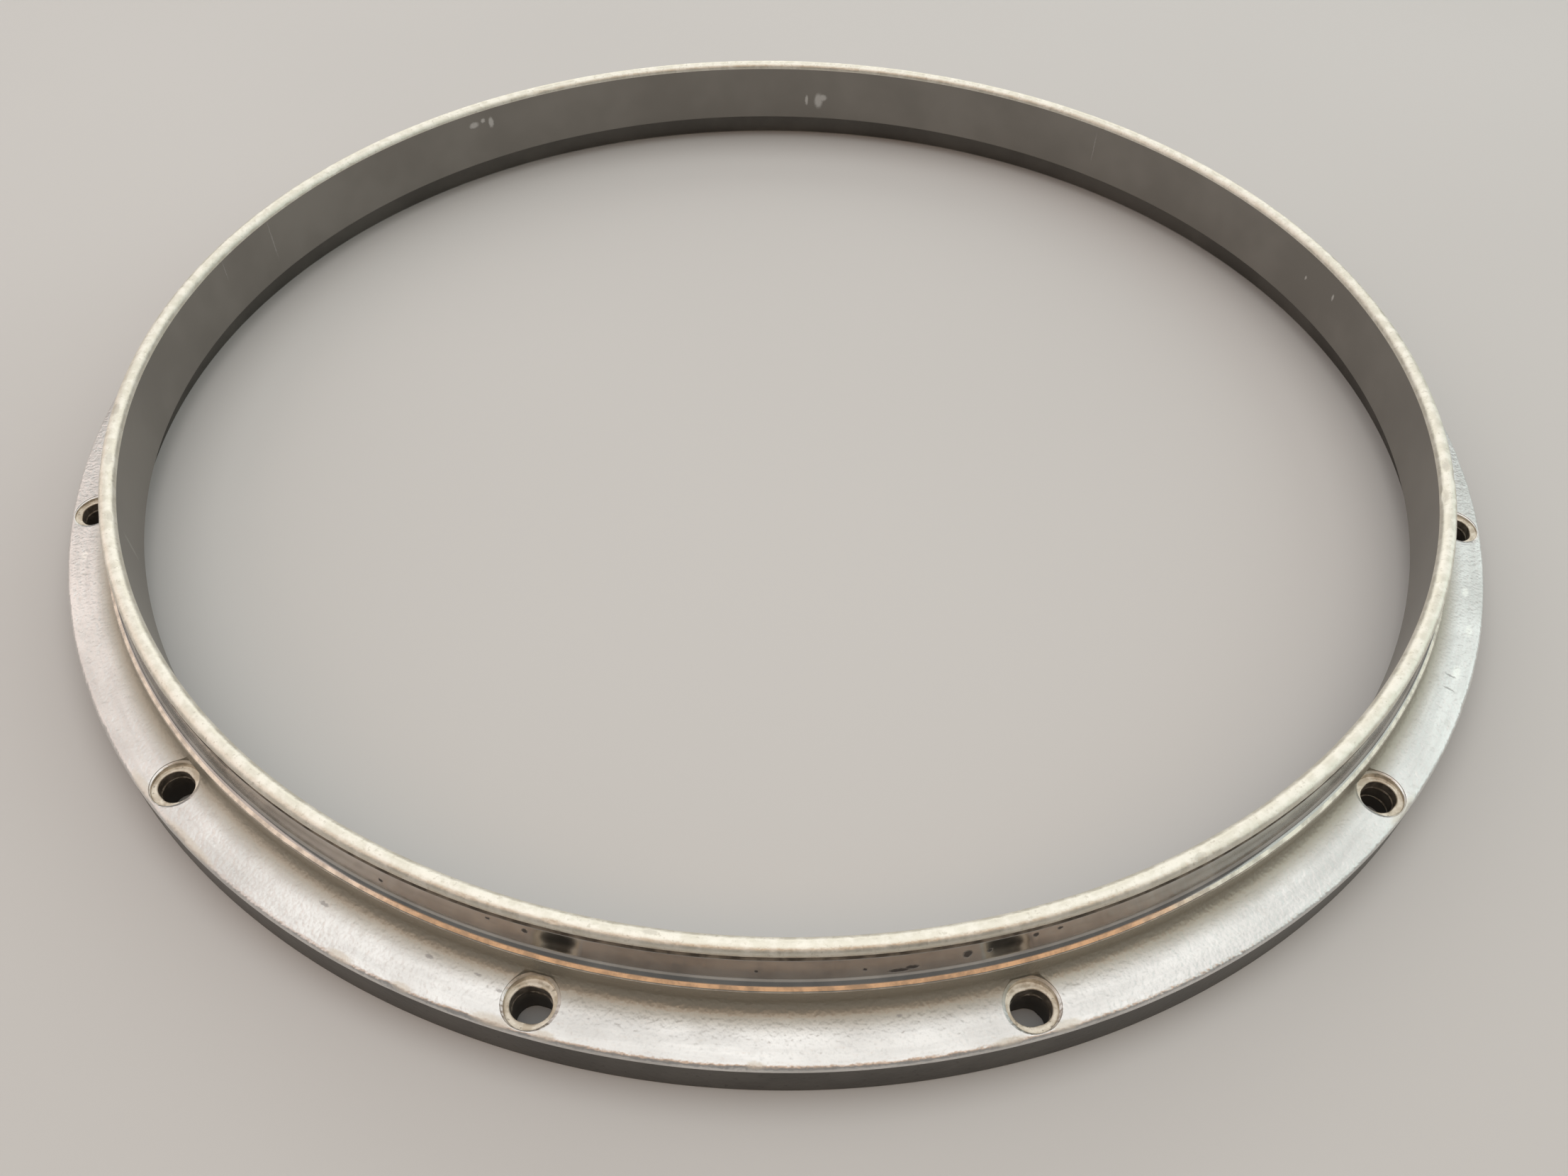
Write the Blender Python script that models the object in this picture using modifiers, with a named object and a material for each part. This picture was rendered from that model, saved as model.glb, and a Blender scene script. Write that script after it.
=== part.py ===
"""A one-piece die-cast drum hoop for a 14-inch drum with twelve tension rods.

Metres, +Z up. The origin is the centre of the ring on the plane of its bottom face. The playing lip is at the
top. One rod hole pair straddles the -Y axis, so the holes stand at 15 degrees + 30 degrees * k.
"""

import math

import bmesh
import bpy
from mathutils import Matrix, Vector

# Driving dimensions ---------------------------------------------------------------------------------------

ROD_HOLES = 12
FIRST_HOLE_ANGLE = math.radians(15.0)

HOOP_HEIGHT = 0.0302
INNER_RADIUS = 0.1810  # The straight inner wall that stands round the drum's shell.
RECESS_RADIUS = 0.1860  # The pocket under the shoulder that takes a drumhead's flesh hoop.
RECESS_DEPTH = 0.0087
FOOT_RADIUS = 0.1998  # The outer face at the bottom; it leans in by its casting draft.
RIM_RADIUS = 0.1996
LIP_RADIUS = 0.1850  # The outside of the rounded playing lip.

PITCH_RADIUS = 0.1932  # The circle of the rod holes.
ROD_HOLE_RADIAL = 0.0074  # The holes are slightly oval, longer along the hoop.
ROD_HOLE_TANGENTIAL = 0.0087
HOLE_RUN_OUT = 0.0020  # How far a hole's cutter runs past the bottom face, and up into the seat's cutter.
SEAT_RADIUS = 0.0054  # The round spot face that a washer sits on.
SEAT_HEIGHT = 0.0098
SEAT_CUT_TOP = 0.0178  # Its cutter ends just under the ledge.

RING_STEPS = 96
ARC_STEP = math.radians(45.0)  # The largest turn between two points of a rounded corner.
OVAL_STEPS = 20

# Corners of the cross-section, (radius, height, corner rounding), down the outer side and back up the inner.
LIP_OUTER = (LIP_RADIUS, HOOP_HEIGHT, 0.0016)
LIP_UNDERSIDE = (LIP_RADIUS, 0.0282, 0.0004)
GROOVE = (0.1844, 0.0274, 0.0)
WALL_TOP = (0.1850, 0.0267, 0.0)
WALL_BEND = (0.18535, 0.0230, 0.0200)  # The wall flares a little towards its foot.
WALL_FOOT = (0.1861, 0.01935, 0.0008)
LEDGE_EDGE = (0.18755, 0.01845, 0.0003)
COVE = (0.18765, 0.01175, 0.0030)
RIM_EDGE = (RIM_RADIUS, 0.01036, 0.0013)
FOOT_EDGE = (FOOT_RADIUS, 0.0, 0.0004)
RECESS_MOUTH = (RECESS_RADIUS, 0.0, 0.0004)
RECESS_ROOT = (RECESS_RADIUS, RECESS_DEPTH, 0.0)
SHOULDER_EDGE = (INNER_RADIUS, RECESS_DEPTH, 0.0003)
LIP_INNER = (INNER_RADIUS, HOOP_HEIGHT, 0.0020)
CORNERS = (
    LIP_OUTER, LIP_UNDERSIDE, GROOVE, WALL_TOP, WALL_BEND, WALL_FOOT, LEDGE_EDGE, COVE,
    RIM_EDGE, FOOT_EDGE, RECESS_MOUTH, RECESS_ROOT, SHOULDER_EDGE, LIP_INNER,
)


def clear_scene():
    for obj in list(bpy.data.objects):
        bpy.data.objects.remove(obj, do_unlink=True)


def new_collection(name):
    collection = bpy.data.collections.new(name)
    bpy.context.scene.collection.children.link(collection)
    return collection


def rounded_corner(before, corner, after):
    """Points of the arc that rounds a corner, or the corner itself if it is sharp."""
    here = Vector(corner[:2])
    rounding = corner[2]
    if rounding == 0.0:
        return [here]
    to_before = (Vector(before[:2]) - here).normalized()
    to_after = (Vector(after[:2]) - here).normalized()
    opening = to_before.angle(to_after)
    reach = rounding / math.tan(opening / 2)
    centre = here + (to_before + to_after).normalized() * (rounding / math.sin(opening / 2))
    start = here + to_before * reach - centre
    end = here + to_after * reach - centre
    turn = math.atan2(start.x * end.y - start.y * end.x, start.dot(end))
    steps = max(1, math.ceil(abs(turn) / ARC_STEP))
    return [centre + Matrix.Rotation(turn * step / steps, 2) @ start for step in range(steps + 1)]


def cross_section():
    """The closed outline of the hoop's section as (radius, height) points."""
    count = len(CORNERS)
    outline = []
    for index, corner in enumerate(CORNERS):
        outline += rounded_corner(CORNERS[index - 1], corner, CORNERS[(index + 1) % count])
    return outline


def turned_ring(name, outline, collection):
    """The outline turned round the Z axis by a Screw modifier."""
    mesh = bpy.data.meshes.new(name)
    edges = [(index, (index + 1) % len(outline)) for index in range(len(outline))]
    mesh.from_pydata([(point.x, 0.0, point.y) for point in outline], edges, [])
    ring = bpy.data.objects.new(name, mesh)
    collection.objects.link(ring)
    screw = ring.modifiers.new("turn", "SCREW")
    screw.axis = "Z"
    screw.angle = math.tau
    screw.steps = RING_STEPS
    screw.render_steps = RING_STEPS
    screw.use_merge_vertices = True
    screw.merge_threshold = 0.00001
    screw.use_smooth_shade = True
    return ring


def hide_cutter(cutter):
    cutter.hide_render = True
    cutter.display_type = "WIRE"


def add_cutter(name, mesh_maker, collection):
    mesh = bpy.data.meshes.new(name)
    shape = bmesh.new()
    mesh_maker(shape)
    shape.to_mesh(mesh)
    shape.free()
    cutter = bpy.data.objects.new(name, mesh)
    collection.objects.link(cutter)
    hide_cutter(cutter)
    return cutter


def upright_oval(shape, radial, tangential, bottom, top):
    """An oval column whose short way is along X."""
    middle = Matrix.Translation((0.0, 0.0, (bottom + top) / 2))
    place = middle @ Matrix.Diagonal((radial, tangential, 1.0, 1.0))
    bmesh.ops.create_cone(
        shape, cap_ends=True, segments=OVAL_STEPS, radius1=0.5, radius2=0.5, depth=top - bottom, matrix=place
    )


def rod_hole(shape):
    upright_oval(shape, ROD_HOLE_RADIAL, ROD_HOLE_TANGENTIAL, -HOLE_RUN_OUT, SEAT_HEIGHT + HOLE_RUN_OUT)


def rod_seat(shape):
    upright_oval(shape, 2 * SEAT_RADIUS, 2 * SEAT_RADIUS, SEAT_HEIGHT, SEAT_CUT_TOP)


def place_on_pitch_circle(cutter, angle):
    cutter.rotation_euler = (0.0, 0.0, angle)
    cutter.location = (PITCH_RADIUS * math.cos(angle), PITCH_RADIUS * math.sin(angle), 0.0)


def add_rod_stations(collection):
    """The cutters for the hole and the seat at each tension rod."""
    for index in range(ROD_HOLES):
        angle = FIRST_HOLE_ANGLE + math.tau * index / ROD_HOLES
        place_on_pitch_circle(add_cutter(f"cut_hole_{index}", rod_hole, collection), angle)
        place_on_pitch_circle(add_cutter(f"cut_seat_{index}", rod_seat, collection), angle)


def cast_metal():
    material = bpy.data.materials.new("cast_aluminium")
    material.use_nodes = True
    shader = material.node_tree.nodes["Principled BSDF"]
    shader.inputs["Base Color"].default_value = (0.66, 0.655, 0.64, 1.0)
    shader.inputs["Metallic"].default_value = 1.0
    shader.inputs["Roughness"].default_value = 0.38
    return material


def build_hoop():
    parts = new_collection("drum_hoop")
    cutters = new_collection("cutters")
    hoop = turned_ring("cast_hoop", cross_section(), parts)
    hoop.data.materials.append(cast_metal())
    add_rod_stations(cutters)
    cut = hoop.modifiers.new("rod_stations", "BOOLEAN")
    cut.operation = "DIFFERENCE"
    cut.solver = "EXACT"
    cut.operand_type = "COLLECTION"
    cut.collection = cutters


clear_scene()
build_hoop()
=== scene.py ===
"""The looks of the cast drum hoop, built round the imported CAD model.

One mesh, hoop_casting, stands for the CAD node cast_hoop. It has the same turned section and the same rod
stations, with fine roundings, a cast skin, a shallow cut round each washer seat, flash inside the holes, and
wear. Metres, +Z up. Angles round the ring are counter-clockwise from +X, and the camera looks from -Y.
"""

import collections
import math
import random

import bpy
import numpy as np
from mathutils import Matrix, Vector, noise


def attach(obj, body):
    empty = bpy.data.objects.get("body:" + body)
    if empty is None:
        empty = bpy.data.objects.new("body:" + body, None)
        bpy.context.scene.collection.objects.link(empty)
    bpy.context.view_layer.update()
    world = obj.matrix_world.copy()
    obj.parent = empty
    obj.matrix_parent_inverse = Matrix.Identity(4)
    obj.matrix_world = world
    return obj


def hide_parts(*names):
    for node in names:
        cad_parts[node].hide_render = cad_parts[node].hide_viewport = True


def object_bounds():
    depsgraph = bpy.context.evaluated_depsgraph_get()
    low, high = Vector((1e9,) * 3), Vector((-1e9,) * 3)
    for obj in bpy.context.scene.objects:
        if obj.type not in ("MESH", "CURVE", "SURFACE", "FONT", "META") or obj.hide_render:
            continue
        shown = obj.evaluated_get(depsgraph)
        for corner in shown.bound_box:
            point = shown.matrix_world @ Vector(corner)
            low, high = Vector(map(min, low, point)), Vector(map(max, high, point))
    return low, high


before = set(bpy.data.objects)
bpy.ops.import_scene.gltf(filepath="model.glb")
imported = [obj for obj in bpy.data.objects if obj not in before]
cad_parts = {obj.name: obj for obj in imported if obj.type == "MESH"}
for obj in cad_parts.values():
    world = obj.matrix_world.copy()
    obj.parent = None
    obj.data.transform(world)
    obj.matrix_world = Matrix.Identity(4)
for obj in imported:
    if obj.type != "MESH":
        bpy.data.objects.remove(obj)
cad_low, cad_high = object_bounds()

# The hoop's section -----------------------------------------------------------------------------------------

HOOP_HEIGHT = cad_high.z
FOOT_RADIUS = cad_high.x
INNER_RADIUS = 0.1810
LIP_RADIUS = 0.1850
RECESS_RADIUS = 0.1860
RECESS_DEPTH = 0.0087
WALL_TOP = (0.1850, 0.0267)
WALL_BEND = (0.18522, 0.0230)
WALL_FOOT = (0.1858, 0.0194)
COVE = (0.18765, 0.01175)
RIM_EDGE = (0.1996, 0.01036)

Corner = collections.namedtuple("Corner", "name radius height rounding arc_rows arc_zone rows zone")

# Down the outer side and back up the inner: each corner's rounding, then the straight stretch after it.
SECTION = (
    Corner("lip_outer", LIP_RADIUS, HOOP_HEIGHT, 0.0016, 8, "lip", 1, "lip"),
    Corner("lip_underside", LIP_RADIUS, 0.0282, 0.0004, 3, "lip", 1, "groove"),
    Corner("groove", 0.1844, 0.0274, 0.00012, 2, "groove", 1, "groove"),
    Corner("wall_top", *WALL_TOP, 0.0002, 2, "band", 2, "band"),
    Corner("wall_bend", *WALL_BEND, 0.0250, 4, "band", 2, "band"),
    Corner("wall_foot", *WALL_FOOT, 0.0022, 8, "band", 1, "ledge"),
    Corner("ledge_edge", 0.1876, 0.01835, 0.0005, 6, "ledge", 3, "flange"),
    Corner("cove", *COVE, 0.0030, 11, "flange", 8, "flange"),
    Corner("rim_edge", *RIM_EDGE, 0.0013, 6, "flange", 3, "outer"),
    Corner("foot_edge", FOOT_RADIUS, 0.0, 0.0004, 3, "outer", 1, "bottom"),
    Corner("recess_mouth", RECESS_RADIUS, 0.0, 0.0004, 3, "bottom", 2, "recess"),
    Corner("recess_root", RECESS_RADIUS, RECESS_DEPTH, 0.0002, 2, "recess", 1, "recess"),
    Corner("shoulder_edge", INNER_RADIUS, RECESS_DEPTH, 0.0003, 3, "inner", 4, "inner"),
    Corner("lip_inner", INNER_RADIUS, HOOP_HEIGHT, 0.0020, 9, "lip", 1, "lip"),
)
ZONES = (
    "lip", "groove", "band", "ledge", "flange", "outer", "bottom", "recess", "inner", "seat", "bore", "flash",
)

# The rod stations -------------------------------------------------------------------------------------------

STATIONS = 12
FIRST_STATION = math.radians(15.0)
PITCH_RADIUS = 0.1932
HOLE_HALF_WIDTH = 0.0037  # A round-ended hole, longer along the hoop.
HOLE_HALF_STRAIGHT = 0.00065
SEAT_RADIUS = 0.0054
SEAT_HEIGHT = 0.0098
SEAT_FILLET = 0.00016
HOLE_EDGE = 0.00025
HOLE_EDGE_STEPS = ((1.0, 0.0), (0.3, 0.3), (0.0, 1.0))  # Shares of it, off the wall and off the face.
COUNTER_RADIUS = 0.00605  # The shallow cut round each seat, parallel to the flange.
COUNTER_DEPTH = 0.0002
COUNTER_TRIM = 0.00043  # How much nearer its edge is on the rim's side.
COUNTER_TOP = 0.0129  # It bites into the wall under the ledge up to this height.
EDGE_BREAK = 0.0001
FLASH_DROP = 0.0024  # How far below the seat the flash stands.
FLASH_REACH = 0.00032
FLASH_HALF_THICKNESS = 0.00016
FLASH_RING_OFFSETS = (-0.0005, -0.0002, 0.0, 0.0002, 0.0005)
SECOND_FLASH_DROP = 0.0058
TWICE_FLASHED = (10,)  # The stations with a second line of flash.
SEAT_STRIPS = (0, 1)  # The zones of a hole's strips, counted from the seat; the rest are bore.
FLASH_STRIPS = (4, 5)
SECOND_FLASH_STRIPS = (9, 10)

STATION_COLUMNS = 16
STATION_HALF_ANGLE = math.radians(2.2)
BETWEEN_COLUMNS = 48
COLUMNS_EACH = STATION_COLUMNS + BETWEEN_COLUMNS
SURFACE_SHARES = (0.22, 0.45, 0.68, 0.86, 1.0)  # Where the rings lie between the grid and a station's cut.


def rounded_corner(before, corner, after, steps):
    """Points of the arc that rounds a corner."""
    here = Vector((corner.radius, corner.height))
    to_before = (Vector((before.radius, before.height)) - here).normalized()
    to_after = (Vector((after.radius, after.height)) - here).normalized()
    opening = to_before.angle(to_after)
    reach = corner.rounding / math.tan(opening / 2)
    centre = here + (to_before + to_after).normalized() * (corner.rounding / math.sin(opening / 2))
    start = here + to_before * reach - centre
    end = here + to_after * reach - centre
    turn = math.atan2(start.x * end.y - start.y * end.x, start.dot(end))
    return [centre + Matrix.Rotation(turn * step / steps, 2) @ start for step in range(steps + 1)]


def section_rows():
    """The section's points, the zone of the strip after each, and each corner's first and last row."""
    arcs = [
        rounded_corner(SECTION[index - 1], corner, SECTION[(index + 1) % len(SECTION)], corner.arc_rows)
        for index, corner in enumerate(SECTION)
    ]
    points = []
    zones = []
    spans = {}
    for index, corner in enumerate(SECTION):
        first = len(points)
        points += arcs[index]
        zones += [corner.arc_zone] * (len(arcs[index]) - 1)
        spans[corner.name] = (first, len(points) - 1)
        start = arcs[index][-1]
        end = arcs[(index + 1) % len(SECTION)][0]
        points += [start.lerp(end, row / corner.rows) for row in range(1, corner.rows)]
        zones += [corner.zone] * corner.rows
    return np.array(points), zones, spans


def station_angle(station):
    """The angle of a rod station's middle round the ring."""
    return FIRST_STATION + math.tau / STATIONS * station


def column_angles():
    """The angle of each column of the grid: close columns at the rod stations and wider ones between them."""
    angles = []
    gap = math.tau / STATIONS - 2 * STATION_HALF_ANGLE
    for station in range(STATIONS):
        middle = station_angle(station)
        for column in range(STATION_COLUMNS):
            angles.append(middle + STATION_HALF_ANGLE * (2 * column / STATION_COLUMNS - 1))
        for column in range(BETWEEN_COLUMNS):
            angles.append(middle + STATION_HALF_ANGLE + gap * column / BETWEEN_COLUMNS)
    return np.array(angles)


def flange_height(radius):
    """The height of the flat part of the flange, carried on in both directions."""
    share = (radius - COVE[0]) / (RIM_EDGE[0] - COVE[0])
    return COVE[1] + (RIM_EDGE[1] - COVE[1]) * share


def counter_radius(direction):
    """The radius of the shallow cut round a seat, drawn in on the rim's side."""
    return COUNTER_RADIUS - COUNTER_TRIM * max(0.0, math.cos(direction)) ** 2


def hole_radius(direction):
    """The distance from a hole's centre to its wall; direction 0 points away from the ring's centre."""
    across = abs(math.cos(direction))
    along = abs(math.sin(direction))
    if HOLE_HALF_WIDTH * along <= HOLE_HALF_STRAIGHT * across:
        return HOLE_HALF_WIDTH / across
    return HOLE_HALF_STRAIGHT * along + math.sqrt(HOLE_HALF_WIDTH**2 - (HOLE_HALF_STRAIGHT * across) ** 2)


def off_station(direction, away):
    """(radius, angle from the station's middle) of a point in this direction and this far from its centre."""
    radial = PITCH_RADIUS + away * math.cos(direction)
    tangential = away * math.sin(direction)
    return math.hypot(radial, tangential), math.atan2(tangential, radial)


def flash_drops(station):
    """How far below the seat each line of flash stands at this station."""
    return (FLASH_DROP, SECOND_FLASH_DROP) if station in TWICE_FLASHED else (FLASH_DROP,)


class HoopMesh:
    """The casting's vertices and faces: a grid turned round the axis, with rings at each rod station."""

    def __init__(self):
        self.rows, self.row_zones, self.spans = section_rows()
        self.angles = column_angles()
        self.points = []
        self.grain = []
        self.faces = []
        self.face_zones = []
        first, last = self.spans["ledge_edge"][1], self.spans["rim_edge"][1]
        self.slope = self.rows[first : last + 1]
        steps = np.linalg.norm(np.diff(self.slope, axis=0), axis=1)
        self.slope_length = np.concatenate([[0.0], np.cumsum(steps)])
        # A station's opening runs from just under the ledge's edge to part-way round the rim's rounding.
        self.top_rows = (self.spans["ledge_edge"][1] + 1, self.spans["rim_edge"][0] + 4)
        self.bottom_rows = (self.spans["foot_edge"][1], self.spans["recess_mouth"][0])

    def add_point(self, radius, angle, height, grain):
        self.points.append((radius * math.cos(angle), radius * math.sin(angle), height))
        self.grain.append(grain)
        return len(self.points) - 1

    def add_face(self, corners, zone):
        self.faces.append(corners)
        self.face_zones.append(zone)

    def grid_vertex(self, column, row):
        return (column % len(self.angles)) * len(self.rows) + row % len(self.rows)

    def in_station(self, column, row):
        if column % COLUMNS_EACH >= STATION_COLUMNS:
            return False
        return self.top_rows[0] <= row < self.top_rows[1] or row == self.bottom_rows[0]

    def add_grid(self):
        for angle in self.angles:
            for row, (radius, height) in enumerate(self.rows):
                self.add_point(radius, angle, height, GRAIN[self.row_zones[row]])
        for column in range(len(self.angles)):
            for row, zone in enumerate(self.row_zones):
                if not self.in_station(column, row):
                    square = [
                        self.grid_vertex(column, row),
                        self.grid_vertex(column, row + 1),
                        self.grid_vertex(column + 1, row + 1),
                        self.grid_vertex(column + 1, row),
                    ]
                    self.add_face(square, zone)

    def border(self, station, outer_row, inner_row):
        """(column, row) of the opening round a station, counter-clockwise from above."""
        left = station * COLUMNS_EACH
        right = left + STATION_COLUMNS
        step = 1 if inner_row > outer_row else -1
        loop = [(column, outer_row) for column in range(left, right)]
        loop += [(right, row) for row in range(outer_row, inner_row, step)]
        loop += [(column, inner_row) for column in range(right, left, -1)]
        loop += [(left, row) for row in range(inner_row, outer_row, -step)]
        return loop

    def direction(self, station, vertex):
        """The angle of a vertex about the station's centre, 0 pointing away from the ring's centre."""
        middle = station_angle(station)
        x, y, _ = self.points[vertex]
        radial = x * math.cos(middle) + y * math.sin(middle) - PITCH_RADIUS
        tangential = y * math.cos(middle) - x * math.sin(middle)
        return math.atan2(tangential, radial)

    def slope_point(self, length):
        """(radius, height) on the outer slope, at this length below the ledge's edge."""
        return (
            float(np.interp(length, self.slope_length, self.slope[:, 0])),
            float(np.interp(length, self.slope_length, self.slope[:, 1])),
        )

    def place(self, station, direction, away, height):
        """A vertex without grain, given by its direction and distance from the station's centre."""
        radius, turn = off_station(direction, away)
        return self.add_point(radius, station_angle(station) + turn, height, 0.0)

    def add_strip(self, outer, inner, zone):
        """Squares between two rings of as many vertices."""
        for index in range(len(outer)):
            after = (index + 1) % len(outer)
            self.add_face([outer[index], outer[after], inner[after], inner[index]], zone)

    def outline(self, direction):
        """(slope length, angle from the station's middle) of the shallow cut's edge in this direction."""
        radius, turn = off_station(direction, counter_radius(direction) + EDGE_BREAK)
        length = float(np.interp(radius, self.slope[:, 0], self.slope_length))
        top_length = float(np.interp(-COUNTER_TOP, -self.slope[:, 1], self.slope_length))
        return max(length, top_length), turn

    def surface_rings(self, station, border, directions):
        """Rings on the flange and the wall, from the grid's opening to the shallow cut's edge."""
        middle = station_angle(station)
        starts = []
        for column, row in border:
            columns_in = column - station * COLUMNS_EACH
            start_angle = STATION_HALF_ANGLE * (2 * columns_in / STATION_COLUMNS - 1)
            starts.append((self.slope_length[row - self.spans["ledge_edge"][1]], start_angle))
        ends = [self.outline(direction) for direction in directions]
        rings = []
        for share in SURFACE_SHARES:
            ring = []
            for start, end in zip(starts, ends):
                radius, height = self.slope_point(start[0] + (end[0] - start[0]) * share)
                angle = middle + start[1] + (end[1] - start[1]) * share
                ring.append(self.add_point(radius, angle, height, 1.0 - share))
            rings.append(ring)
        return rings

    def ring(self, station, directions, away_of, height_of):
        """A ring of vertices whose distance and height depend on the direction."""
        return [self.place(station, way, away_of(way), height_of(way)) for way in directions]

    def counter_rings(self, station, directions):
        """Rings down the shallow cut's wall and over its floor to the seat's edge."""

        def top(direction):
            return self.slope_point(self.outline(direction)[0])[1]

        def floor(direction, away):
            return flange_height(off_station(direction, away)[0]) - COUNTER_DEPTH

        def inner(direction):
            return counter_radius(direction) - 0.6 * EDGE_BREAK

        seat_edge = SEAT_RADIUS + 0.5 * EDGE_BREAK
        levels = (
            (lambda way: counter_radius(way) + 0.2 * EDGE_BREAK, lambda way: top(way) - 0.2 * EDGE_BREAK),
            (counter_radius, lambda way: top(way) - 0.9 * EDGE_BREAK),
            (counter_radius, lambda way: floor(way, counter_radius(way)) + 0.6 * EDGE_BREAK),
            (inner, lambda way: floor(way, inner(way))),
            (lambda way: seat_edge, lambda way: floor(way, seat_edge)),
        )
        return [self.ring(station, directions, away_of, height_of) for away_of, height_of in levels]

    def seat_rings(self, station, directions):
        """Rings down the seat's wall and half-way across its floor, towards the hole."""

        def wall_top(direction):
            return flange_height(off_station(direction, SEAT_RADIUS)[0]) - COUNTER_DEPTH - EDGE_BREAK

        levels = (
            (lambda way: SEAT_RADIUS, wall_top),
            (lambda way: SEAT_RADIUS, lambda way: SEAT_HEIGHT + SEAT_FILLET),
            (lambda way: SEAT_RADIUS - 0.3 * SEAT_FILLET, lambda way: SEAT_HEIGHT + 0.3 * SEAT_FILLET),
            (lambda way: SEAT_RADIUS - SEAT_FILLET, lambda way: SEAT_HEIGHT),
            (lambda way: (SEAT_RADIUS + hole_radius(way) + HOLE_EDGE) / 2, lambda way: SEAT_HEIGHT),
        )
        return [self.ring(station, directions, away_of, height_of) for away_of, height_of in levels]

    def flash(self, station, direction, height):
        """How far the wall stands into the hole at this height."""
        reach = 0.0
        for drop in flash_drops(station):
            place = Vector((math.cos(direction), math.sin(direction), station + drop * 1000))
            ragged = 0.72 + 0.5 * noise.noise(place * 1.7) + 0.25 * noise.noise(place * 6.0)
            crest = SEAT_HEIGHT - drop + 0.0003 * noise.noise(place * 1.3)
            fall_off = math.exp(-(((height - crest) / FLASH_HALF_THICKNESS) ** 2))
            reach += FLASH_REACH * max(ragged, 0.15) * fall_off
        return reach

    def hole_rings(self, station, directions):
        """Rings over the hole's upper edge, down its wall past the flash, and out to the bottom face."""

        def edge_ring(out, height):
            return self.ring(station, directions, lambda way: hole_radius(way) + out, lambda way: height)

        def flash_ring(height):
            def away(direction):
                return hole_radius(direction) - self.flash(station, direction, height)

            return self.ring(station, directions, away, lambda way: height)

        rings = [edge_ring(HOLE_EDGE * out, SEAT_HEIGHT - HOLE_EDGE * drop) for out, drop in HOLE_EDGE_STEPS]
        for drop in flash_drops(station):
            rings += [flash_ring(SEAT_HEIGHT - (drop + offset)) for offset in FLASH_RING_OFFSETS]
        rings += [edge_ring(HOLE_EDGE * out, HOLE_EDGE * rise) for out, rise in reversed(HOLE_EDGE_STEPS)]
        return rings

    def stitch(self, station, ring, directions, loop):
        """Triangles between the hole's last ring and the opening in the bottom face."""
        loop_directions = np.unwrap([self.direction(station, vertex) for vertex in loop])
        loop_directions = list(loop_directions) + [loop_directions[0] + math.tau]
        ring_directions = list(directions) + [directions[0] + math.tau]
        at_ring, at_loop = 0, 0
        while at_ring < len(ring) or at_loop < len(loop):
            ring_next = ring_directions[at_ring + 1] if at_ring < len(ring) else math.inf
            loop_next = loop_directions[at_loop + 1] if at_loop < len(loop) else math.inf
            here = ring[at_ring % len(ring)]
            there = loop[at_loop % len(loop)]
            if ring_next <= loop_next:
                at_ring += 1
                self.add_face([here, ring[at_ring % len(ring)], there], "bottom")
            else:
                at_loop += 1
                self.add_face([here, loop[at_loop % len(loop)], there], "bottom")

    def add_station(self, station):
        """Fills a station's two openings in the grid: rings from the outer slope down to the bottom face."""
        border = self.border(station, self.top_rows[1], self.top_rows[0])
        rim = [self.grid_vertex(column, row) for column, row in border]
        actual = np.unwrap([self.direction(station, vertex) for vertex in rim])
        even = actual[0] + math.tau * np.arange(len(rim)) / len(rim)
        directions = [float(value) for value in (actual + even) / 2]
        surface = self.surface_rings(station, border, directions)
        counter = self.counter_rings(station, directions)
        seat = self.seat_rings(station, directions)
        hole = self.hole_rings(station, directions)
        outside = surface + counter
        for outer, inner in zip([rim] + outside, outside):
            self.add_strip(outer, inner, "flange")
        for outer, inner in zip([counter[-1]] + seat, seat + [hole[0]]):
            self.add_strip(outer, inner, "seat")
        flash = FLASH_STRIPS + (SECOND_FLASH_STRIPS if station in TWICE_FLASHED else ())
        for index, (outer, inner) in enumerate(zip(hole, hole[1:])):
            zone = "seat" if index in SEAT_STRIPS else "flash" if index in flash else "bore"
            self.add_strip(outer, inner, zone)
        below = self.border(station, *self.bottom_rows)
        loop = [self.grid_vertex(column, row) for column, row in below]
        self.stitch(station, hole[-1], directions, loop)

    def finished(self):
        """(vertices, grain weights, faces, zones) with the grid's unused vertices left out."""
        used = sorted({vertex for face in self.faces for vertex in face})
        place = {vertex: index for index, vertex in enumerate(used)}
        faces = [[place[vertex] for vertex in face] for face in self.faces]
        return np.array(self.points)[used], np.array(self.grain)[used], faces, self.face_zones


# Wear and cast skin -----------------------------------------------------------------------------------------

# How much of the cast skin's unevenness each zone of the section shows; the stations' cuts show none.
GRAIN = {
    "lip": 0.9, "groove": 0.4, "band": 0.2, "ledge": 0.3, "flange": 1.0, "outer": 0.5, "bottom": 0.0,
    "recess": 0.1, "inner": 0.12,
}
SWELL = 0.000035  # The skin's long waves.
SWELL_PER_METRE = 110.0
PEBBLE = 0.000010
PEBBLE_PER_METRE = 420.0
BOX_MARGIN = 0.00002  # How far inside the CAD's radius the skin is kept.

Dent = collections.namedtuple("Dent", "angle radius height length width depth")

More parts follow.
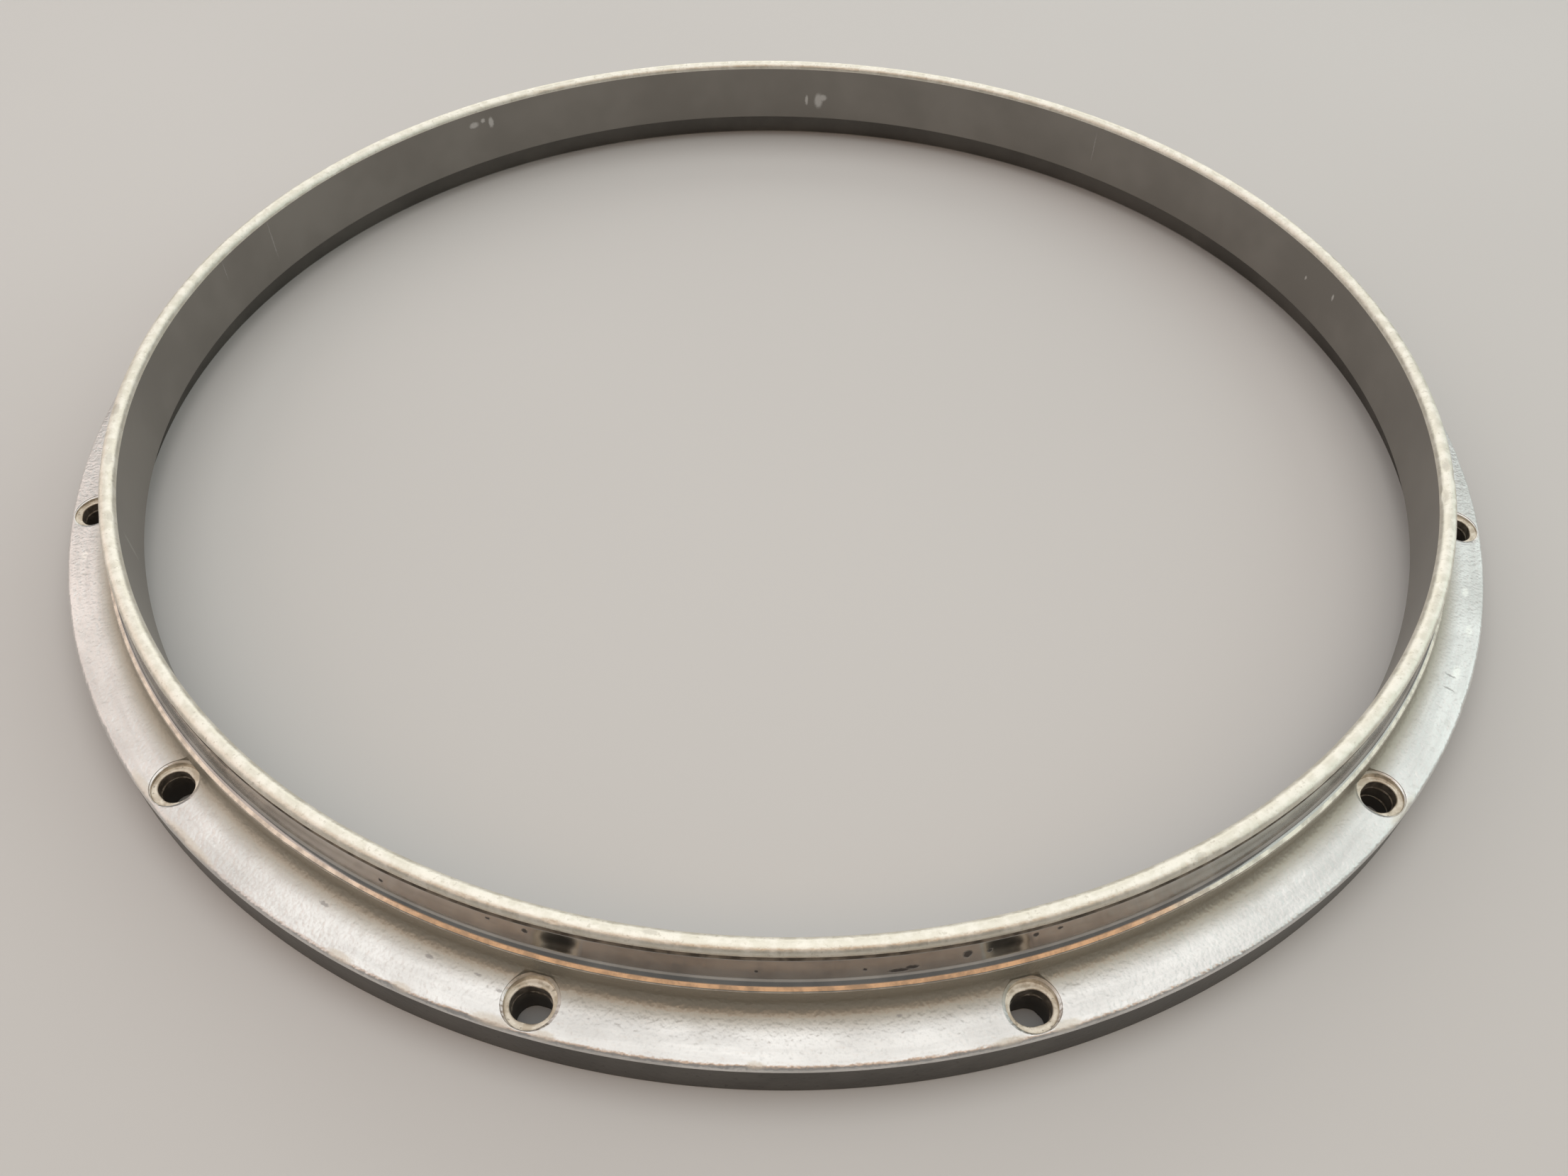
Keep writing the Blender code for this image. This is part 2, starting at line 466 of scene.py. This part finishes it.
# The dents that stand out, at degrees round the ring; the rest are scattered by scattered_dents.
DENTS = (
    Dent(-18.5, 0.1816, 0.0299, 0.0030, 0.0011, 0.00034),
    Dent(-14.8, 0.1826, 0.0302, 0.0022, 0.0010, 0.00022),
    Dent(-15.6, 0.1846, 0.0293, 0.0026, 0.0009, 0.00026),
    Dent(-164.0, 0.1822, 0.0301, 0.0030, 0.0010, 0.00024),
    Dent(-171.5, 0.1840, 0.0298, 0.0020, 0.0010, 0.00022),
    Dent(-108.6, 0.1992, 0.0101, 0.0036, 0.0011, 0.00024),
    Dent(-113.3, 0.1993, 0.0100, 0.0026, 0.0010, 0.00022),
    Dent(-131.5, 0.1993, 0.0100, 0.0040, 0.0010, 0.00024),
    Dent(-92.3, 0.1994, 0.0099, 0.0022, 0.0008, 0.00020),
    Dent(148.0, 0.1812, 0.0297, 0.0026, 0.0009, 0.00028),
    Dent(121.0, 0.1812, 0.0296, 0.0020, 0.0008, 0.00024),
)
SCATTERED_DENTS = 110


def scattered_dents():
    """Small nicks along the lip's two shoulders, the ledge and the rim."""
    draw = random.Random(14)
    lines = ((0.1814, 0.0296), (0.1842, 0.0299), (0.1848, 0.0288), (0.1874, 0.0190), (0.1993, 0.0100))
    dents = []
    for _ in range(SCATTERED_DENTS):
        radius, height = draw.choice(lines)
        dents.append(Dent(
            draw.uniform(-180.0, 180.0), radius, height,
            draw.uniform(0.0010, 0.0024), draw.uniform(0.0005, 0.0009), draw.uniform(0.00006, 0.00018),
        ))
    return dents


def skin_offsets(points, grain):
    """How far the cast skin stands above or below each vertex."""
    offsets = np.zeros(len(points))
    for index, (point, weight) in enumerate(zip(points, grain)):
        if weight > 0.0:
            place = Vector(point)
            swell = noise.noise(place * SWELL_PER_METRE) * SWELL
            pebble = noise.noise(place * PEBBLE_PER_METRE) * PEBBLE
            offsets[index] = weight * (swell + pebble)
    return offsets


def dent_offsets(points, dents):
    """How deep the dents are at each vertex."""
    offsets = np.zeros(len(points))
    for dent in dents:
        angle = math.radians(dent.angle)
        middle = np.array((dent.radius * math.cos(angle), dent.radius * math.sin(angle), dent.height))
        along = np.array((-math.sin(angle), math.cos(angle), 0.0))
        from_middle = points - middle
        length_share = (from_middle @ along) / dent.length
        across = from_middle - np.outer(from_middle @ along, along)
        distance = length_share**2 + (np.linalg.norm(across, axis=1) / dent.width) ** 2
        offsets -= dent.depth * np.clip(1.0 - distance, 0.0, None) ** 1.5
    return offsets


def keep_in_box(points):
    """Draws the skin in so that it never stands past the hoop's own size."""
    radii = np.hypot(points[:, 0], points[:, 1])
    share = np.minimum(1.0, (FOOT_RADIUS - BOX_MARGIN) / radii)
    points[:, :2] *= share[:, None]
    points[:, 2] = np.clip(points[:, 2], 0.0, HOOP_HEIGHT)


def build_casting(materials):
    """The hoop as one mesh, its skin and dents pushed along the smooth surface's normals."""
    hoop = HoopMesh()
    hoop.add_grid()
    for station in range(STATIONS):
        hoop.add_station(station)
    points, grain, faces, zones = hoop.finished()
    mesh = bpy.data.meshes.new("hoop_casting")
    mesh.from_pydata(points.tolist(), [], faces)
    normals = np.empty(len(points) * 3)
    mesh.vertices.foreach_get("normal", normals)
    offsets = skin_offsets(points, grain) + dent_offsets(points, DENTS + tuple(scattered_dents()))
    points += normals.reshape(-1, 3) * offsets[:, None]
    keep_in_box(points)
    mesh.vertices.foreach_set("co", points.ravel())
    for zone in ZONES:
        mesh.materials.append(materials[zone])
    mesh.polygons.foreach_set("material_index", [ZONES.index(zone) for zone in zones])
    mesh.shade_smooth()
    mesh.update()
    casting = bpy.data.objects.new("hoop_casting", mesh)
    bpy.context.scene.collection.objects.link(casting)
    weighted = casting.modifiers.new("even_shading", "WEIGHTED_NORMAL")
    weighted.keep_sharp = False
    return casting


# Materials --------------------------------------------------------------------------------------------------


class Shader:
    """A Principled material with short calls for the nodes that drive it."""

    def __init__(self, name, metallic, roughness=0.5):
        self.material = bpy.data.materials.new(name)
        self.material.use_nodes = True
        self.tree = self.material.node_tree
        self.surface = self.tree.nodes["Principled BSDF"]
        self.surface.inputs["Metallic"].default_value = metallic
        self.surface.inputs["Roughness"].default_value = roughness
        self.position = self.node("ShaderNodeTexCoord").outputs["Object"]
        self.parts = self.node("ShaderNodeSeparateXYZ", {"Vector": self.position}).outputs

    def node(self, kind, inputs=None, **settings):
        made = self.tree.nodes.new(kind)
        for name, value in settings.items():
            setattr(made, name, value)
        for name, value in (inputs or {}).items():
            if isinstance(value, bpy.types.NodeSocket):
                self.tree.links.new(value, made.inputs[name])
            else:
                made.inputs[name].default_value = value
        return made

    def math(self, operation, first, second=0.0):
        return self.node("ShaderNodeMath", {0: first, 1: second}, operation=operation).outputs[0]

    def noise(self, per_metre, detail=2.0, roughness=0.5, position=None):
        inputs = {
            "Vector": position or self.position, "Scale": per_metre, "Detail": detail, "Roughness": roughness
        }
        return self.node("ShaderNodeTexNoise", inputs).outputs["Fac"]

    def ramp(self, value, low, high, to_low=0.0, to_high=1.0):
        """Maps value from low..high to to_low..to_high, smoothly and within those ends."""
        inputs = {
            "Value": value, "From Min": low, "From Max": high, "To Min": to_low, "To Max": to_high
        }
        return self.node("ShaderNodeMapRange", inputs, interpolation_type="SMOOTHSTEP").outputs["Result"]

    def tinted(self, base, mask, strength, colour):
        """The base colour, turned towards another where the mask is 1."""
        return self.mix(self.math("MULTIPLY", mask, strength), base, colour)

    def mix(self, share, first, second):
        made = self.node("ShaderNodeMix", data_type="RGBA")
        for socket, value in ((made.inputs[0], share), (made.inputs[6], first), (made.inputs[7], second)):
            if isinstance(value, bpy.types.NodeSocket):
                self.tree.links.new(value, socket)
            elif isinstance(value, tuple):
                socket.default_value = (*value, 1.0)
            else:
                socket.default_value = value
        return made.outputs[2]

    def unrolled(self, waver=0.0002):
        """(metres round the ring, height, radius), a little uneven so that marks have ragged edges."""
        angle = self.math("ARCTAN2", self.parts["Y"], self.parts["X"])
        along = self.math("MULTIPLY", angle, PITCH_RADIUS)
        flat = self.node(
            "ShaderNodeCombineXYZ", {"X": along, "Y": self.parts["Z"], "Z": self.radius()}
        ).outputs[0]
        ragged = self.node("ShaderNodeTexNoise", {"Vector": self.position, "Scale": 1500.0, "Detail": 3.0})
        centred = self.node(
            "ShaderNodeVectorMath", {0: ragged.outputs["Color"], 1: (0.5, 0.5, 0.5)}, operation="SUBTRACT"
        ).outputs[0]
        shift = self.node(
            "ShaderNodeVectorMath", {0: centred, "Scale": 4 * waver}, operation="SCALE"
        ).outputs[0]
        return self.node("ShaderNodeVectorMath", {0: flat, 1: shift}, operation="ADD").outputs[0]

    def marks(self, places, softness=0.35):
        """1 inside each mark and 0 outside. A mark is (degrees, height, radius, half length, half width)."""
        flat = self.unrolled()
        total = None
        for degrees, height, radius, half_length, half_width in places:
            size = Vector((half_length, half_width, half_width))
            middle = Vector((math.radians(degrees) * PITCH_RADIUS, height, radius))
            scaled = self.node("ShaderNodeMapping", {
                "Vector": flat,
                "Scale": tuple(1.0 / value for value in size),
                "Location": tuple(-place / value for place, value in zip(middle, size)),
            }).outputs[0]
            away = self.node("ShaderNodeVectorMath", {0: scaled}, operation="LENGTH").outputs["Value"]
            mark = self.ramp(away, 1.0 + softness, 1.0 - softness)
            total = mark if total is None else self.math("MAXIMUM", total, mark)
        return total

    def streaks(self, per_metre, stretch):
        """Noise drawn out along the hoop, stretch times longer than it is wide."""
        drawn_out = self.node("ShaderNodeVectorMath", {
            0: self.unrolled(0.0), 1: (1.0 / stretch, 1.0, 1.0)
        }, operation="MULTIPLY").outputs[0]
        return self.noise(per_metre, 3.0, 0.55, drawn_out)

    def radius(self):
        """The distance from the hoop's axis."""
        squares = [self.math("MULTIPLY", self.parts[axis], self.parts[axis]) for axis in ("X", "Y")]
        return self.math("SQRT", self.math("ADD", *squares))

    def colour(self, socket):
        self.tree.links.new(socket, self.surface.inputs["Base Color"])

    def rough(self, socket):
        self.tree.links.new(socket, self.surface.inputs["Roughness"])

    def bump(self, height, distance):
        """A fine relief; the height runs from 0 to 1 over this distance."""
        normal = self.node("ShaderNodeBump", {"Height": height, "Distance": distance}).outputs["Normal"]
        self.tree.links.new(normal, self.surface.inputs["Normal"])


def from_front(azimuth):
    """Degrees counted from -Y towards +X, turned into degrees counted from +X."""
    return math.remainder(azimuth - 90.0, 360.0)


def flange_mark(azimuth, radius, half_length, half_width):
    return from_front(azimuth), flange_height(radius), radius, half_length, half_width


def wall_mark(azimuth, height, half_length, half_width):
    """A mark on the wall between the groove and the ledge."""
    radii, heights = zip(WALL_FOOT, WALL_BEND, WALL_TOP)
    radius = float(np.interp(height, heights, radii))
    return from_front(azimuth), height, radius, half_length, half_width


def inner_mark(azimuth, height, half_length, half_width):
    return from_front(azimuth), height, INNER_RADIUS, half_length, half_width


def lip_mark(azimuth, radius, half_length, half_width):
    return from_front(azimuth), HOOP_HEIGHT, radius, half_length, half_width


FLANGE_SCUFFS = (
    flange_mark(-30.0, 0.1915, 0.0012, 0.0004), flange_mark(-22.0, 0.1912, 0.0010, 0.0004),
    flange_mark(-18.7, 0.1912, 0.0008, 0.0003), flange_mark(-17.0, 0.1928, 0.0007, 0.0003),
    flange_mark(7.0, 0.1905, 0.0006, 0.0003), flange_mark(57.0, 0.1950, 0.0003, 0.0014),
    flange_mark(58.3, 0.1944, 0.0003, 0.0012),
)
FLANGE_BLOTCHES = (
    flange_mark(58.8, 0.1955, 0.0022, 0.0009), flange_mark(63.5, 0.1962, 0.0018, 0.0008),
    flange_mark(67.5, 0.1944, 0.0016, 0.0008), flange_mark(-70.0, 0.1950, 0.0015, 0.0008),
)
RIM_CHIPS = (
    flange_mark(-27.0, 0.1987, 0.0030, 0.0010), flange_mark(-22.6, 0.1987, 0.0022, 0.0009),
    flange_mark(-16.7, 0.1986, 0.0042, 0.0012), flange_mark(-1.5, 0.1988, 0.0018, 0.0008),
    flange_mark(-40.5, 0.1988, 0.0085, 0.0010), flange_mark(13.0, 0.1988, 0.0034, 0.0008),
    flange_mark(16.5, 0.1986, 0.0030, 0.0011), flange_mark(45.0, 0.1988, 0.0052, 0.0010),
    flange_mark(-46.5, 0.1986, 0.0048, 0.0012), flange_mark(-13.6, 0.1987, 0.0022, 0.0010),
)
BAND_PITS = (
    wall_mark(-15.8, 0.0246, 0.00060, 0.00075), wall_mark(-18.2, 0.0252, 0.00050, 0.00040),
    wall_mark(-26.0, 0.0228, 0.00045, 0.00050), wall_mark(7.0, 0.0212, 0.0021, 0.00055),
    wall_mark(7.8, 0.0218, 0.0013, 0.00055), wall_mark(11.2, 0.0234, 0.00090, 0.00120),
    wall_mark(12.6, 0.0232, 0.00050, 0.00070), wall_mark(15.5, 0.0250, 0.00055, 0.00070),
    wall_mark(17.1, 0.0250, 0.00060, 0.00050), wall_mark(-1.6, 0.0226, 0.00030, 0.00035),
    wall_mark(4.9, 0.0226, 0.00035, 0.00045),
)
INNER_SMUDGES = (
    inner_mark(175.4, 0.0160, 0.0016, 0.0027), inner_mark(174.9, 0.0172, 0.0016, 0.0012),
    inner_mark(176.9, 0.0160, 0.0006, 0.0018), inner_mark(-141.0, 0.0239, 0.0018, 0.0010),
    inner_mark(-143.2, 0.0231, 0.0010, 0.0018), inner_mark(-142.2, 0.0246, 0.0008, 0.0008),
    inner_mark(103.4, 0.0219, 0.0005, 0.0010), inner_mark(108.0, 0.0199, 0.0004, 0.0007),
)
INNER_SCRATCHES = (
    inner_mark(-111.7, 0.0215, 0.00025, 0.0060), inner_mark(-67.0, 0.0190, 0.00060, 0.0042),
    inner_mark(-104.0, 0.0246, 0.00018, 0.0030), inner_mark(140.0, 0.0205, 0.00018, 0.0050),
)
LIP_CHIPS = (
    lip_mark(71.5, 0.1817, 0.0028, 0.0010), lip_mark(75.2, 0.1826, 0.0020, 0.0009),
    lip_mark(74.4, 0.1845, 0.0024, 0.0008), lip_mark(-74.0, 0.1826, 0.0024, 0.0009),
    lip_mark(-80.5, 0.1835, 0.0026, 0.0010), lip_mark(-67.0, 0.1820, 0.0018, 0.0008),
    lip_mark(-8.0, 0.1826, 0.0016, 0.0006), lip_mark(27.0, 0.1840, 0.0018, 0.0007),
)


def cast_flange():
    """Bright cast metal with a finely pebbled skin, painted shade darkening it under the ledge, and worn pale
    along the rim.
    """
    shader = Shader("cast_flange", 1.0)
    pebbles = shader.noise(1250.0, 1.0, 0.4)
    cloud = shader.noise(34.0, 3.0, 0.6)
    blotchy = shader.noise(230.0, 3.0, 0.6)
    streaks = shader.streaks(420.0, 9.0)
    base = shader.mix(shader.ramp(cloud, 0.36, 0.66), (0.70, 0.69, 0.67), (0.82, 0.81, 0.79))
    base = shader.mix(shader.ramp(pebbles, 0.42, 0.28, 0.0, 0.30), base, (0.58, 0.57, 0.55))
    base = shader.mix(shader.ramp(blotchy, 0.40, 0.30, 0.0, 0.35), base, (0.62, 0.60, 0.57))
    base = shader.mix(shader.ramp(streaks, 0.60, 0.36, 0.0, 0.35), base, (0.55, 0.54, 0.525))
    # Painted shade: the cove under the ledge is turned towards a dull olive, most strongly next to the wall.
    painted_cove_shade = shader.ramp(shader.radius(), 0.1884, 0.1940, 0.98, 0.0)
    base = shader.mix(painted_cove_shade, base, (0.43, 0.40, 0.335))
    chips = shader.marks(RIM_CHIPS)
    base = shader.tinted(base, chips, 0.5, (0.80, 0.755, 0.66))
    base = shader.tinted(base, shader.marks(FLANGE_BLOTCHES, 0.5), 0.7, (0.95, 0.94, 0.89))
    base = shader.tinted(base, shader.marks(FLANGE_SCUFFS), 0.7, (0.30, 0.28, 0.27))
    shader.colour(base)
    duller = shader.math("MULTIPLY", shader.math("ADD", chips, painted_cove_shade), 0.2)
    shader.rough(shader.math("ADD", shader.ramp(cloud, 0.3, 0.7, 0.40, 0.34), duller))
    shader.bump(shader.math("ADD", pebbles, shader.noise(600.0, 1.0)), 0.00013)
    return shader.material


def chalky_lip():
    """The lip's worn cream skin, rough, with grey flecks, soft blotches, small chips, and painted shade on
    its shoulders below the crown.
    """
    shader = Shader("chalky_lip", 0.85)
    flecks = shader.noise(900.0, 3.0, 0.6)
    cloud = shader.noise(320.0, 3.0, 0.6)
    base = shader.mix(shader.ramp(cloud, 0.38, 0.64), (0.78, 0.75, 0.65), (0.92, 0.895, 0.81))
    base = shader.mix(shader.ramp(flecks, 0.42, 0.31, 0.0, 0.55), base, (0.60, 0.56, 0.47))
    # Painted shade: below the crown the lip's shoulders are mixed a quarter of the way to a dark brown-grey.
    crown_above_painted_shade = shader.ramp(shader.parts["Z"], 0.0291, 0.0301)
    base = shader.mix(crown_above_painted_shade, shader.mix(0.25, base, (0.42, 0.395, 0.335)), base)
    chips = shader.marks(LIP_CHIPS)
    base = shader.tinted(base, chips, 0.6, (0.60, 0.57, 0.50))
    shader.colour(base)
    shader.rough(shader.ramp(cloud, 0.3, 0.7, 0.38, 0.52))
    grit = shader.math("ADD", flecks, shader.math("MULTIPLY", cloud, 1.5))
    shader.bump(shader.math("SUBTRACT", grit, shader.math("MULTIPLY", chips, 0.5)), 0.00009)
    return shader.material


def groove_painted_shade():
    """The narrow line under the lip: near-black painted shade in the groove, with a little dirt."""
    shader = Shader("groove_painted_shade", 0.3, 0.7)
    dirt_and_shade_mottle = shader.noise(260.0, 3.0)
    # Painted shade: the groove is coloured near-black, mottled by the noise.
    shader.colour(shader.mix(shader.ramp(dirt_and_shade_mottle, 0.35, 0.65), (0.09, 0.076, 0.06), (0.26, 0.225, 0.18)))
    shader.bump(dirt_and_shade_mottle, 0.0001)
    return shader.material


def smooth_band():
    """The wall from the groove to the ledge: smooth enough to mirror the flange, with dark pits."""
    shader = Shader("smooth_band", 1.0)
    cloud = shader.noise(90.0, 3.0, 0.55)
    fine = shader.noise(900.0, 2.0)
    base = shader.mix(shader.ramp(cloud, 0.35, 0.65), (0.37, 0.355, 0.335), (0.47, 0.455, 0.43))
    pits = shader.marks(BAND_PITS, 0.3)
    base = shader.tinted(base, pits, 0.9, (0.085, 0.075, 0.07))
    shader.colour(base)
    duller = shader.math("MULTIPLY", pits, 0.35)
    shader.rough(shader.math("ADD", shader.ramp(cloud, 0.3, 0.7, 0.13, 0.18), duller))
    shader.bump(shader.math("SUBTRACT", shader.math("MULTIPLY", fine, 0.08), pits), 0.00006)
    return shader.material


def ledge_with_painted_warm_tint():
    """The ledge and its edge, smooth and a little worn, tinted warm: partly painted reflection of the warm
    lamp in front.
    """
    shader = Shader("ledge_with_painted_warm_tint", 1.0)
    wear = shader.noise(300.0, 3.0, 0.6)
    # Partly painted reflection: both tones are tinted warm to help the copper streak along the ledge.
    base = shader.mix(shader.ramp(wear, 0.36, 0.62), (0.50, 0.455, 0.39), (0.70, 0.635, 0.54))
    shader.colour(base)
    shader.rough(shader.ramp(wear, 0.3, 0.7, 0.25, 0.16))
    shader.bump(wear, 0.00002)
    return shader.material


def outer_face_painted_shade():
    """The hoop's outer edge, duller than the flange; the same metal, painted near-black as painted shade and
    a painted dark reflection.
    """
    shader = Shader("outer_face_painted_shade", 1.0)
    cloud = shader.noise(50.0, 4.0, 0.6)
    fine = shader.noise(700.0, 2.0)
    # Painted shade: the outer face's metal is given a near-black grey.
    base = shader.mix(shader.ramp(cloud, 0.35, 0.66), (0.10, 0.094, 0.085), (0.165, 0.157, 0.144))
    shader.colour(shader.mix(shader.ramp(fine, 0.36, 0.28, 0.0, 0.5), base, (0.07, 0.066, 0.06)))
    shader.rough(shader.ramp(cloud, 0.3, 0.7, 0.36, 0.5))
    shader.bump(fine, 0.00006)
    return shader.material


def inner_wall_painted_shade():
    """The smooth matte wall inside: the hoop's metal painted dark grey as painted shade and a painted dark
    reflection, with a few whitish smudges and thin scratches.
    """
    shader = Shader("inner_wall_painted_shade", 0.85)
    cloud = shader.noise(24.0, 3.0, 0.6)
    # Painted shade: the wall's metal is given a dark grey.
    base = shader.mix(shader.ramp(cloud, 0.34, 0.68), (0.225, 0.212, 0.192), (0.278, 0.263, 0.24))
    base = shader.tinted(base, shader.marks(INNER_SMUDGES, 0.4), 0.75, (0.62, 0.61, 0.59))
    base = shader.tinted(base, shader.marks(INNER_SCRATCHES, 0.5), 0.4, (0.50, 0.49, 0.47))
    shader.colour(base)
    shader.rough(shader.ramp(cloud, 0.3, 0.7, 0.38, 0.47))
    shader.bump(shader.noise(600.0, 2.0), 0.00002)
    return shader.material


def plain_underside(name, colour, roughness):
    """Cast or milled faces that are seldom seen: cloudy grey with a fine tooth."""
    shader = Shader(name, 0.9)
    cloud = shader.noise(40.0, 4.0, 0.6)
    darker = tuple(0.75 * part for part in colour)
    shader.colour(shader.mix(shader.ramp(cloud, 0.35, 0.66), darker, colour))
    shader.rough(shader.ramp(cloud, 0.3, 0.7, roughness - 0.06, roughness + 0.06))
    shader.bump(shader.noise(800.0, 2.0), 0.00004)
    return shader.material


def washer_seat():
    """The spot face and its edge: chalky cream metal rubbed by a washer, with small dark nicks."""
    shader = Shader("washer_seat", 0.5)
    rub = shader.noise(380.0, 3.0, 0.6)
    base = shader.mix(shader.ramp(rub, 0.38, 0.64), (0.60, 0.53, 0.42), (0.90, 0.85, 0.74))
    base = shader.mix(shader.ramp(shader.noise(1000.0, 2.0), 0.38, 0.29, 0.0, 0.7), base, (0.30, 0.26, 0.20))
    shader.colour(base)
    shader.rough(shader.ramp(rub, 0.3, 0.7, 0.36, 0.52))
    shader.bump(rub, 0.00016)
    return shader.material


def rod_bore():
    """The hole's wall: dull metal painted dark, with painted shade darkening it towards the bottom."""
    shader = Shader("rod_bore", 0.5, 0.55)
    grain = shader.noise(500.0, 3.0)
    upper = shader.mix(shader.ramp(grain, 0.35, 0.65), (0.13, 0.116, 0.097), (0.27, 0.245, 0.21))
    # Painted shade: from 9.2 mm down to 3.5 mm the wall fades to near-black.
    shader.colour(shader.mix(shader.ramp(shader.parts["Z"], 0.0035, 0.0092), (0.08, 0.074, 0.064), upper))
    shader.bump(grain, 0.00008)
    return shader.material


def hole_flash():
    """The ragged fin left inside each hole: paler than the wall round it."""
    shader = Shader("hole_flash", 0.6, 0.45)
    grain = shader.noise(900.0, 2.0)
    shader.colour(shader.mix(shader.ramp(grain, 0.36, 0.62), (0.36, 0.32, 0.26), (0.76, 0.71, 0.62)))
    shader.bump(grain, 0.00008)
    return shader.material


def zone_materials():
    return {
        "lip": chalky_lip(),
        "groove": groove_painted_shade(),
        "band": smooth_band(),
        "ledge": ledge_with_painted_warm_tint(),
        "flange": cast_flange(),
        "outer": outer_face_painted_shade(),
        "bottom": plain_underside("bottom_face", (0.46, 0.455, 0.44), 0.45),
        # Painted shade: the recess wall is given a near-black grey, far darker than the bottom face.
        "recess": plain_underside("recess_face_painted_shade", (0.17, 0.16, 0.145), 0.5),
        "inner": inner_wall_painted_shade(),
        "seat": washer_seat(),
        "bore": rod_bore(),
        "flash": hole_flash(),
    }


# The studio -------------------------------------------------------------------------------------------------

FLOOR_SIZE = 8.0
CAMERA_PLACE = Vector((-0.003974, -0.28637, 0.24634))
CAMERA_YAW = 0.02144
CAMERA_PITCH = 0.84012  # Below the horizon.
CAMERA_ROLL = 0.02690
SENSOR_WIDTH = 36.0
LENS = 27.90


def pale_floor():
    bpy.ops.mesh.primitive_plane_add(size=FLOOR_SIZE)
    floor = bpy.context.object
    floor.name = "floor"
    shader = Shader("pale_floor", 0.0, 0.8)
    tint = shader.ramp(shader.noise(3.0, 2.0), 0.3, 0.7)
    shader.colour(shader.mix(tint, (0.59, 0.585, 0.575), (0.61, 0.605, 0.595)))
    floor.data.materials.append(shader.material)


def soft_panel(name, place, size, radiance, colour):
    """An area light aimed at the hoop; radiance is what its face sends out in every direction."""
    light = bpy.data.lights.new(name, "AREA")
    light.shape = "RECTANGLE"
    light.size = size[0]
    light.size_y = size[1]
    light.energy = radiance * math.pi * size[0] * size[1]
    light.color = colour
    lamp = bpy.data.objects.new(name, light)
    lamp.location = place
    lamp.rotation_euler = (-Vector(place)).to_track_quat("-Z", "Y").to_euler()
    lamp.visible_camera = False
    bpy.context.scene.collection.objects.link(lamp)


def studio_lights():
    world = bpy.data.worlds.new("soft_room")
    world.use_nodes = True
    world.node_tree.nodes["Background"].inputs["Color"].default_value = (0.82, 0.815, 0.80, 1.0)
    world.node_tree.nodes["Background"].inputs["Strength"].default_value = 0.28
    bpy.context.scene.world = world
    bpy.context.scene.view_settings.view_transform = "Standard"
    soft_panel("overhead", (0.0, 0.15, 1.35), (2.0, 1.7), 1.05, (1.0, 0.99, 0.965))
    soft_panel("behind", (0.0, 2.2, 1.1), (3.4, 1.3), 1.3, (1.0, 0.985, 0.93))
    soft_panel("left_warm", (-1.75, 0.2, 0.95), (2.3, 1.5), 0.95, (1.0, 0.85, 0.78))
    soft_panel("right_cool", (1.75, 0.2, 0.95), (2.3, 1.5), 0.95, (0.90, 1.0, 0.965))
    soft_panel("front_amber", (0.0, -1.0, 1.3), (3.2, 0.5), 0.72, (1.0, 0.52, 0.21))


def photo_camera():
    """The camera stands over the hoop's near side with its horizon tilted a little."""
    data = bpy.data.cameras.new("camera")
    data.sensor_width = SENSOR_WIDTH
    data.lens = LENS
    data.clip_start = 0.01
    camera = bpy.data.objects.new("camera", data)
    bpy.context.scene.collection.objects.link(camera)
    forward = Vector((
        math.sin(CAMERA_YAW) * math.cos(CAMERA_PITCH),
        math.cos(CAMERA_YAW) * math.cos(CAMERA_PITCH),
        -math.sin(CAMERA_PITCH),
    ))
    level = Vector((math.cos(CAMERA_YAW), -math.sin(CAMERA_YAW), 0.0))
    upright = level.cross(forward)
    right = level * math.cos(CAMERA_ROLL) + upright * math.sin(CAMERA_ROLL)
    up = upright * math.cos(CAMERA_ROLL) - level * math.sin(CAMERA_ROLL)
    turned = Matrix((right, up, -forward)).transposed()
    camera.matrix_world = Matrix.Translation(CAMERA_PLACE) @ turned.to_4x4()
    bpy.context.scene.camera = camera


casting = build_casting(zone_materials())
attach(casting, "root")
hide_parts("cast_hoop")
pale_floor()
studio_lights()
photo_camera()
